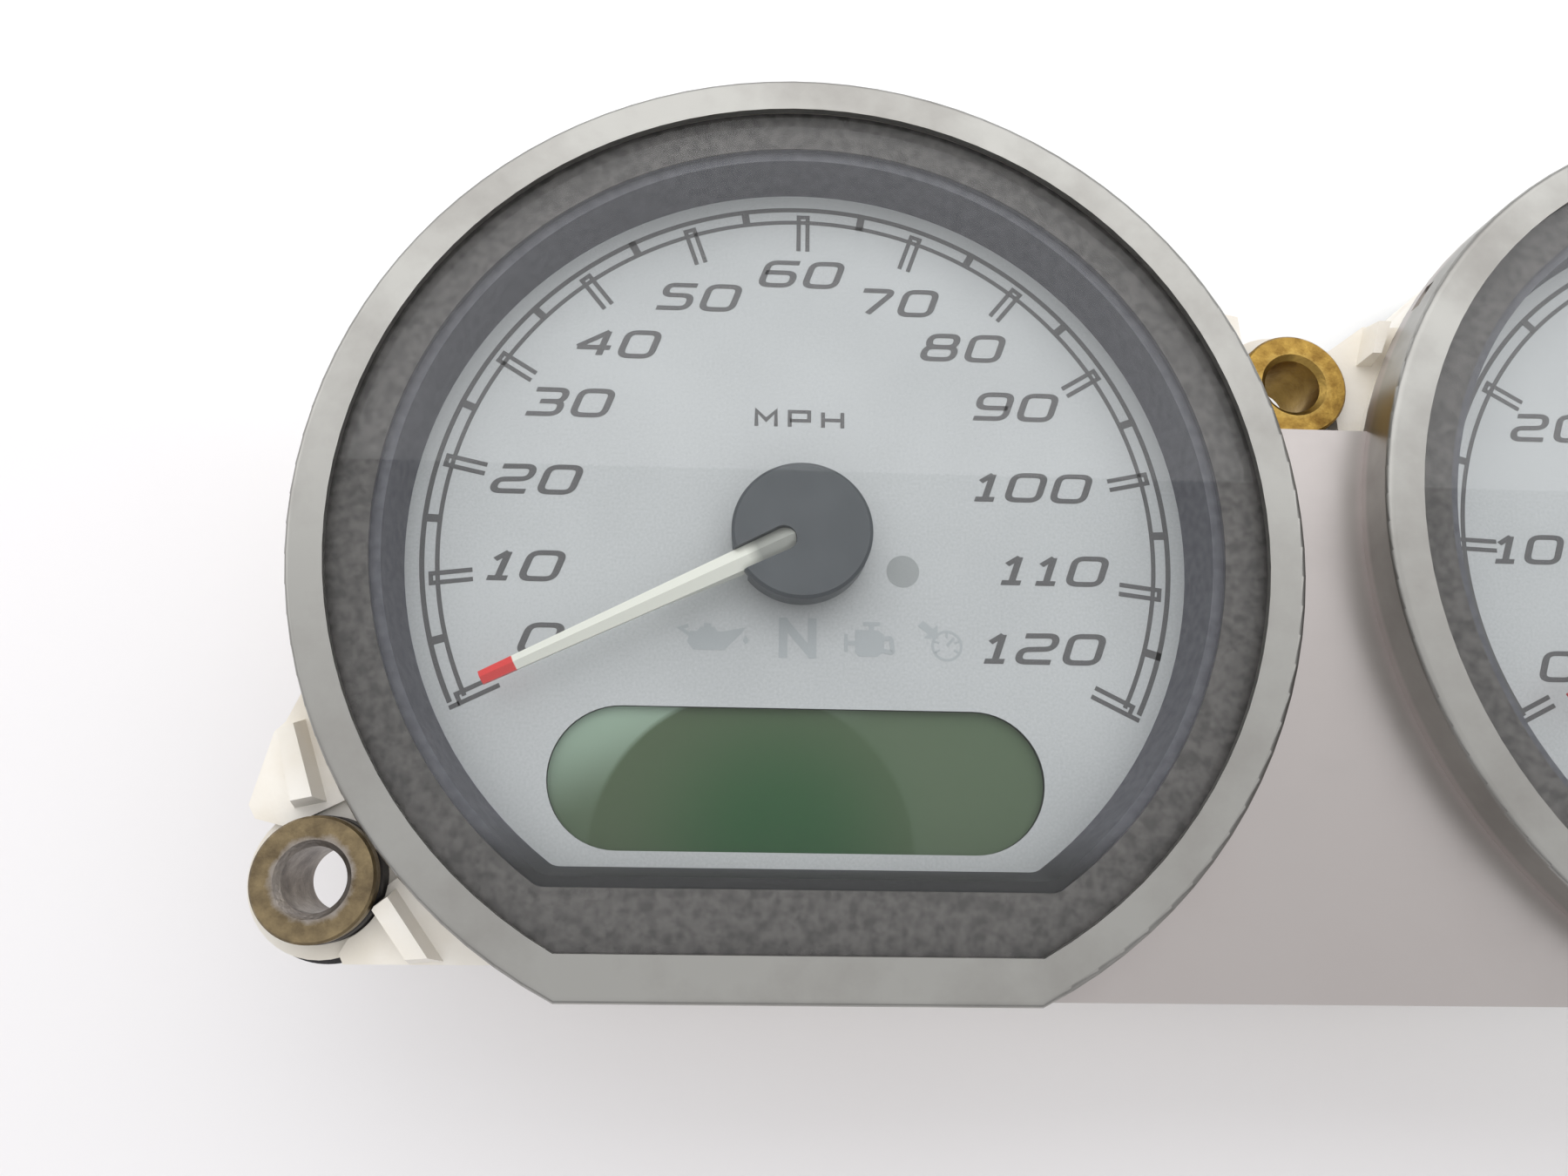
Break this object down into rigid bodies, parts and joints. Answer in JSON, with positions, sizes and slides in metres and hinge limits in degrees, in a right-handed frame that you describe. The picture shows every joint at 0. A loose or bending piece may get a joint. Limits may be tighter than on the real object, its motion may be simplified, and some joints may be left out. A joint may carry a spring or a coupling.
{
  "type": "motorcycle instrument cluster",
  "caption": "Twin-gauge motorcycle instrument cluster with speedometer, tachometer, display, telltales and turning pointers in one stainless trim.",
  "frame": {"origin": "centre of the bounding box's base, on the plane that the rear cover rests on", "axes": "+X from the speedometer to the tachometer, +Y towards the top of the dials, +Z out of the dials towards the rider"},
  "size_m": [0.2314, 0.1022, 0.0388],
  "materials": {
    "brushed_stainless": "satin brushed stainless, lightly worn",
    "clear_pane": "clear hard-coated acrylic pane",
    "black_foam": "closed-cell foam",
    "grey_textured_plastic": "fine-textured dark warm grey",
    "silver_dial": "silver-grey printed dial",
    "clear_acrylic": "clear moulded acrylic",
    "nickel_iron": "annealed sheet",
    "white_nylon": "natural nylon",
    "copper_wire": "enamelled winding wire",
    "plain_steel": "plated steel",
    "ferrite": "sintered ferrite",
    "white_pointer": "moulded white",
    "black_hub": "satin black",
    "white_housing": "moulded creamy white",
    "black_plastic": "moulded black",
    "black_rubber": "moulded rubber",
    "aged_brass": "turned brass, tarnished",
    "green_board": "solder mask",
    "chip_black": "moulded epoxy",
    "capacitor_sleeve": "shrink sleeve",
    "led_body": "moulded lamp body",
    "green_display": "unlit reflective display",
    "grey_vent": "moulded vent"
  },
  "bodies": {
    "cluster": {"board_screws": "plain_steel", "capacitors": "capacitor_sleeve", "circuit_board": "green_board", "coil_terminals": "plain_steel", "cover_screws": "plain_steel", "cover_seal": "black_rubber", "dial_leds": "led_body", "driver_chips": "chip_black", "front_trim": "brushed_stainless", "harness_socket": "black_plastic", "lcd_diffuser": "white_housing", "lcd_glass": "green_display", "lcd_leds": "led_body", "lcd_light_box": "white_housing", "lcd_pins": "plain_steel", "left_grommet": "black_rubber", "left_sleeve": "aged_brass", "main_chip": "chip_black", "main_housing": "white_housing", "rear_cover": "black_plastic", "right_grommet": "black_rubber", "right_sleeve": "aged_brass", "socket_pins": "plain_steel", "speedo_bobbin_lower": "white_nylon", "speedo_bobbin_upper": "white_nylon", "speedo_cosine_coil": "copper_wire", "speedo_dial": "silver_dial", "speedo_lens": "clear_pane", "speedo_lens_seal": "black_foam", "speedo_light_guide": "clear_acrylic", "speedo_mask_ring": "grey_textured_plastic", "speedo_shield_can": "nickel_iron", "speedo_sine_coil": "copper_wire", "tach_bobbin_lower": "white_nylon", "tach_bobbin_upper": "white_nylon", "tach_cosine_coil": "copper_wire", "tach_dial": "silver_dial", "tach_lens": "clear_pane", "tach_lens_seal": "black_foam", "tach_light_guide": "clear_acrylic", "tach_mask_ring": "grey_textured_plastic", "tach_shield_can": "nickel_iron", "tach_sine_coil": "copper_wire", "telltale_flex": "green_board", "telltale_leds": "led_body", "telltale_shroud": "black_plastic", "top_grommet": "black_rubber", "top_sleeve": "aged_brass", "vent_plug": "grey_vent", "voltage_regulator": "chip_black"},
    "speedo_pointer": {"speedo_spindle": "plain_steel", "speedo_rotor_magnet": "ferrite", "speedo_pointer_carrier": "white_pointer", "speedo_pointer_blade": "white_pointer", "speedo_hub_cap": "black_hub"},
    "tach_pointer": {"tach_spindle": "plain_steel", "tach_rotor_magnet": "ferrite", "tach_pointer_carrier": "white_pointer", "tach_pointer_blade": "white_pointer", "tach_hub_cap": "black_hub"}
  },
  "joints": [
    {"name": "speedo_pointer_turn", "type": "hinge", "parent": "cluster", "child": "speedo_pointer", "pos_m": [-0.0585, -0.0027, 0.03], "axis": [0, 0, -1], "range_deg": [0, 233.3]},
    {"name": "tach_pointer_turn", "type": "hinge", "parent": "cluster", "child": "tach_pointer", "pos_m": [0.0585, -0.0027, 0.03], "axis": [0, 0, -1], "range_deg": [0, 233.3]}
  ]
}
